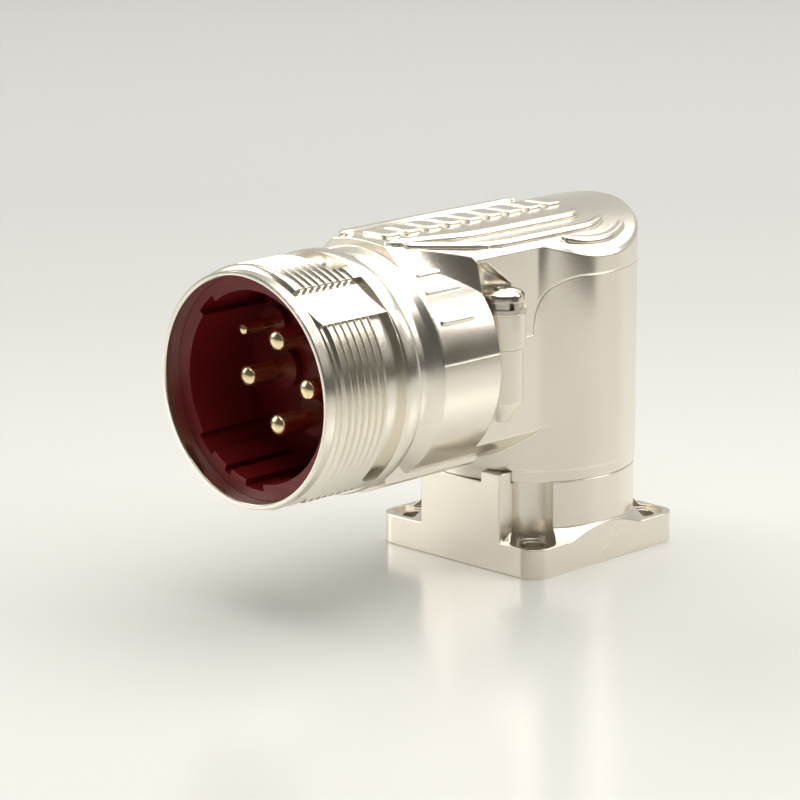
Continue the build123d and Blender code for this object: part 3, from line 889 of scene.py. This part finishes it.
@dataclass
class CoverRelief:
    """Rounded ribs and pads on the cover's crown. Sizes are in millimetres."""

    finishes: Finishes
    crown_axis: float = 25.4
    crown_r: float = 34.0
    inner_rib: LongRib = LongRib(5.5, 39.9, 8.1, 24.0, 24.0, half_width=1.05, half_height=0.92)
    outer_rib: LongRib = LongRib(7.5, 37.9, 12.2, 24.0, 28.0, half_width=0.92, half_height=0.88)
    rear_rib: RearRib = RearRib(15.7, -26.0, 33.0, half_width=0.85, half_height=0.84)
    long_end: float = 0.9
    rear_end: float = 0.8
    arc_step: float = 3.0
    pad_front: float = 36.0
    pad_pitch: float = 4.9
    pad_half_width: float = 2.75
    pad_height: float = 0.58
    pad_rounding: float = 0.45
    pad_lengths: tuple[float, ...] = (3.5, 3.2, 3.4, 3.1, 3.3, 3.2, 3.5, 3.1, 3.4)

    def on_crown(self, x: float, y: float) -> Vector:
        """A point on the crown above a place in plan."""
        return Vector((x, y, self.crown_axis + math.sqrt(self.crown_r ** 2 - x * x))) * MM

    def arc(self, radius: float, start: float, end: float) -> list[Vector]:
        """Points of an arc round the swivel axis, laid on the crown.

        Args:
            radius: The arc's radius in plan.
            start: Its first angle in degrees.
            end: Its last angle in degrees.

        Returns:
            The points.
        """
        count = round(abs(end - start) / self.arc_step)
        angles = [math.radians(start + (end - start) * index / count) for index in range(count + 1)]
        return [self.on_crown(radius * math.cos(angle), radius * math.sin(angle)) for angle in angles]

    def line(self, first: tuple[float, float], second: tuple[float, float], count: int) -> list[Vector]:
        """Points between two places, laid on the crown, without the last."""
        return [self.on_crown(first[0] + (second[0] - first[0]) * index / count,
                              first[1] + (second[1] - first[1]) * index / count)
                for index in range(count)]

    @staticmethod
    def eased(points: list[Vector], passes: int = 3) -> list[Vector]:
        """Eases a path's bends, with its ends kept.

        Args:
            points: The path.
            passes: How often each point moves towards its neighbours.

        Returns:
            The eased path.
        """
        for _ in range(passes):
            inner = [(before + here * 2 + after) / 4
                     for before, here, after in zip(points, points[1:], points[2:])]
            points = [points[0], *inner, points[-1]]
        return points

    @staticmethod
    def rounded_ends(points: list[Vector], length: float) -> list[Vector]:
        """Adds the close points that round a rib's two ends.

        Args:
            points: The rib's path.
            length: The length of each rounded end, in millimetres.

        Returns:
            The longer path.
        """
        first = (points[1] - points[0]).normalized() * length * MM
        last = (points[-1] - points[-2]).normalized() * length * MM
        head = [points[0], points[0] + first * 0.25, points[0] + first]
        tail = [points[-1] - last, points[-1] - last * 0.25, points[-1]]
        middle = [point for point in points[1:-1]
                  if (point - head[2]).dot(first) > 0 and (point - tail[0]).dot(last) < 0]
        return head + middle + tail

    def rib_paths(self) -> list[tuple[list[Vector], tuple[float, float]]]:
        """The right side's ribs.

        Returns:
            Each rib's path and half sizes.
        """
        paths = []
        for rib in (self.inner_rib, self.outer_rib):
            bend = (rib.side_x, -rib.bend_reach)
            points = (self.line((rib.front_x, -rib.front_reach), bend, 6)
                      + self.line(bend, (rib.side_x, 0.0), 8) + self.arc(rib.side_x, 0.0, rib.arc_end))
            points = self.rounded_ends(self.eased(points), self.long_end)
            paths.append((points, (rib.half_width, rib.half_height)))
        rib = self.rear_rib
        points = self.rounded_ends(self.arc(rib.radius, rib.start, rib.end), self.rear_end)
        paths.append((points, (rib.half_width, rib.half_height)))
        return paths

    def pad(self, length: float) -> bpy.types.Object:
        """Makes one pad at the origin: a slab with a rounded top.

        Args:
            length: Its size along the cover.

        Returns:
            The pad.
        """
        Bench.clear()
        bpy.ops.mesh.primitive_cube_add(size=1.0)
        piece = bpy.context.object
        bpy.ops.object.mode_set(mode="EDIT")
        bpy.ops.mesh.select_all(action="SELECT")
        size = (2 * self.pad_half_width * MM, length * MM, 2 * self.pad_height * MM)
        bpy.ops.transform.resize(value=size, center_override=(0.0, 0.0, 0.0))
        bpy.ops.mesh.subdivide(number_cuts=3)
        bpy.ops.object.mode_set(mode="OBJECT")
        rounding = piece.modifiers.new("rounding", "BEVEL")
        rounding.width = self.pad_rounding * MM
        rounding.segments = 5
        rounding.limit_method = "ANGLE"
        bpy.ops.object.modifier_apply(modifier=rounding.name)
        return piece

    def lay(self, piece: bpy.types.Object) -> None:
        """Bends a pad over the crown, across its width.

        Args:
            piece: The pad, centred on the crown's top line.
        """
        top = self.crown_r - math.sqrt(self.crown_r ** 2 - self.pad_half_width ** 2)
        for vertex in piece.data.vertices:
            share = abs(vertex.co.x) / (self.pad_half_width * MM)
            vertex.co.z -= top * MM * share * share

    def build(self) -> None:
        """Builds the ribs on both sides and the row of pads."""
        for index, (points, half_size) in enumerate(self.rib_paths()):
            piece = Bench.sweep(f"cover_rib_{index + 1}", points, half_size)
            twin = piece.modifiers.new("other side", "MIRROR")
            twin.use_axis = (True, False, False)
            bpy.ops.object.modifier_apply(modifier=twin.name)
            self.finish(piece)
        for index, length in enumerate(self.pad_lengths):
            piece = self.pad(length)
            piece.name = f"cover_pad_{index + 1}"
            self.lay(piece)
            place = self.on_crown(0.0, index * self.pad_pitch - self.pad_front)
            piece.data.transform(Matrix.Translation(place))
            self.finish(piece)

    def finish(self, piece: bpy.types.Object) -> None:
        """Smooths a piece, gives it the casting's finish and puts it on the elbow."""
        Bench.smooth(piece, 50.0)
        self.finishes.dress(piece, Slot.CASTING)
        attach(piece, "elbow")
        log.info("%s: %d faces", piece.name, len(piece.data.polygons))


@dataclass
class Studio:
    """Floor, backdrop, lamps and camera."""

    floor_size: float = 6.0
    wall_distance: float = 1.2
    target: tuple[float, float, float] = (-0.01588, -0.01569, 0.02519)
    azimuth: float = 44.65
    elevation: float = 13.78
    roll: float = -0.16
    distance: float = 0.5856
    lens: float = 151.85
    card_size: tuple[float, float] = (0.075, 0.08)
    card_bottom: float = 0.036
    card_right: float = 0.056
    card_forward: float = 0.068
    lamp_aim: tuple[float, float, float] = (0.0, -0.02, 0.035)
    lamp_colour: tuple[float, float, float] = (1.0, 0.97, 0.92)

    def build(self) -> None:
        """Builds everything that isn't the part."""
        self.surroundings()
        self.world()
        self.lamps()
        self.camera()

    def axes(self) -> tuple[Vector, Vector, Vector]:
        """The camera's right, up and backward directions."""
        az = math.radians(self.azimuth)
        el = math.radians(self.elevation)
        back = Vector((math.sin(az) * math.cos(el), -math.cos(az) * math.cos(el), math.sin(el)))
        right = Vector((math.cos(az), math.sin(az), 0.0))
        up = back.cross(right)
        turn = math.radians(self.roll)
        rolled = right * math.cos(turn) + up * math.sin(turn)
        return rolled, up * math.cos(turn) - right * math.sin(turn), back

    def camera(self) -> None:
        """Sets the photograph's camera."""
        right, up, back = self.axes()
        data = bpy.data.cameras.new("photo_camera")
        data.sensor_width = 36.0
        data.lens = self.lens
        camera = bpy.data.objects.new("photo_camera", data)
        bpy.context.collection.objects.link(camera)
        place = Vector(self.target) + back * self.distance
        turned = Matrix((right, up, back)).transposed().to_4x4()
        camera.matrix_world = Matrix.Translation(place) @ turned
        bpy.context.scene.camera = camera

    def plane(self, name: str, size: float, place: tuple[float, float, float] = (0.0, 0.0, 0.0),
              turned: tuple[float, float, float] = (0.0, 0.0, 0.0)) -> bpy.types.Object:
        """Adds a square plane.

        Args:
            name: Its name.
            size: Its side.
            place: Its centre.
            turned: Its turn about each axis, in radians.

        Returns:
            The plane.
        """
        bpy.ops.object.select_all(action="DESELECT")
        bpy.ops.mesh.primitive_plane_add(size=size, location=place, rotation=turned)
        piece = bpy.context.object
        piece.name = name
        return piece

    def surroundings(self) -> None:
        """A glossy pale floor and a glowing backdrop, both with painted light, and a dark card beside the
        part.
        """
        az = math.radians(self.azimuth)
        floor = self.plane("studio_floor", self.floor_size)
        floor.data.materials.append(self.floor_painted_falloff())
        wall = self.plane("studio_backdrop", self.floor_size,
                          (-math.sin(az) * self.wall_distance, math.cos(az) * self.wall_distance, 0.0),
                          (math.pi / 2, 0.0, az))
        wall.data.materials.append(self.backdrop_painted_glow())
        self.dark_card()

    def floor_painted_falloff(self) -> bpy.types.Material:
        """A glossy pale floor with painted light: its colour darkens with the distance behind the part,
        then lightens again far back.

        Returns:
            The material.
        """
        shader = Shader("studio_floor_gloss")
        split = shader.add("ShaderNodeSeparateXYZ", values={"Vector": shader.place()})
        az = math.radians(self.azimuth)
        behind = shader.value(split, "Y") * math.cos(az) - shader.value(split, "X") * math.sin(az)
        # painted light and shade: the floor's tone falls, then rises, with the distance behind the part
        ramp = shader.add("ShaderNodeValToRGB", {"stops": [
            (0.0, (0.69, 0.695, 0.675, 1.0)), (0.18, (0.64, 0.645, 0.63, 1.0)),
            (0.30, (0.575, 0.58, 0.57, 1.0)), (0.43, (0.57, 0.575, 0.57, 1.0)),
            (0.82, (0.77, 0.775, 0.77, 1.0))]}, {0: behind + 0.1})
        surface = shader.add("ShaderNodeBsdfPrincipled", values={
            "Base Color": ramp.outputs[0], "Roughness": 0.2, "Specular IOR Level": 0.4})
        return shader.finish(surface.outputs[0])

    def dark_card(self) -> bpy.types.Object:
        """A dark card at the camera's right, which only the metal's sides reflect.

        Returns:
            The card.
        """
        az = math.radians(self.azimuth)
        width, height = self.card_size
        card = self.plane("studio_dark_card", 1.0)
        bpy.ops.object.mode_set(mode="EDIT")
        bpy.ops.transform.resize(value=(width, height, 1.0))
        bpy.ops.object.mode_set(mode="OBJECT")
        card.location = (math.cos(az) * self.card_right + math.sin(az) * self.card_forward,
                         math.sin(az) * self.card_right - math.cos(az) * self.card_forward,
                         self.card_bottom + height / 2)
        card.rotation_euler = (math.pi / 2, 0.0, az - math.pi / 2)
        card.visible_shadow = False
        card.visible_camera = False
        shader = Shader("studio_dark_card_paint")
        surface = shader.add("ShaderNodeBsdfPrincipled", values={
            "Base Color": (0.05, 0.04, 0.03, 1.0), "Roughness": 0.8})
        card.data.materials.append(shader.finish(surface.outputs[0]))
        return card

    def backdrop_painted_glow(self) -> bpy.types.Material:
        """A pale glowing backdrop with painted light, lighter towards the floor.

        Returns:
            The material.
        """
        shader = Shader("studio_backdrop_paint")
        split = shader.add("ShaderNodeSeparateXYZ", values={"Vector": shader.place()})
        height = shader.value(split, "Y")
        # painted light: the backdrop glows brighter low down and dimmer higher up
        ramp = shader.add("ShaderNodeValToRGB", {"stops": [
            (0.0, (0.72, 0.71, 0.68, 1.0)), (0.35, (0.62, 0.61, 0.58, 1.0)),
            (1.0, (0.52, 0.51, 0.48, 1.0))]}, {0: height * 2.5})
        surface = shader.add("ShaderNodeEmission", values={"Color": ramp.outputs[0], "Strength": 1.0})
        return shader.finish(surface.outputs[0])

    def world(self) -> None:
        """Plain soft light from all round."""
        world = bpy.data.worlds.new("studio_world")
        world.use_nodes = True
        ground = world.node_tree.nodes["Background"]
        ground.inputs["Color"].default_value = (0.93, 0.90, 0.84, 1.0)
        ground.inputs["Strength"].default_value = 0.08
        bpy.context.scene.world = world

    def lamp(self, name: str, place: tuple[float, float, float], size: tuple[float, float],
             power: float) -> None:
        """Adds a soft rectangular lamp that faces the part.

        Args:
            name: The lamp's name.
            place: Where it stands.
            size: Its width and height.
            power: Its power in watts.
        """
        data = bpy.data.lights.new(name, "AREA")
        data.shape = "RECTANGLE"
        data.size, data.size_y = size
        data.energy = power
        data.color = self.lamp_colour
        lamp = bpy.data.objects.new(name, data)
        bpy.context.collection.objects.link(lamp)
        lamp.location = place
        aim = Vector(self.lamp_aim) - Vector(place)
        lamp.rotation_euler = aim.to_track_quat("-Z", "Y").to_euler()

    def lamps(self) -> None:
        """Overhead, left and right soft boxes."""
        self.lamp("overhead_box", (0.05, 0.08, 0.72), (1.0, 1.0), 9.0)
        self.lamp("left_box", (-0.70, -0.45, 0.40), (0.5, 0.5), 3.2)
        self.lamp("right_box", (0.60, 0.55, 0.50), (0.5, 0.3), 2.5)


def main() -> None:
    """Builds the dressed part and its studio."""
    logging.basicConfig(level=logging.INFO)
    finishes = Finishes()
    CadNodes(finishes).dress()
    place = BarrelFrame()
    CouplingBarrel(finishes, place).build()
    Contacts(finishes, place).build()
    CoverScrews(finishes).build()
    CoverRelief(finishes).build()
    bpy.context.scene.view_settings.view_transform = "Standard"
    Studio().build()


if __name__ == "__main__":
    main()
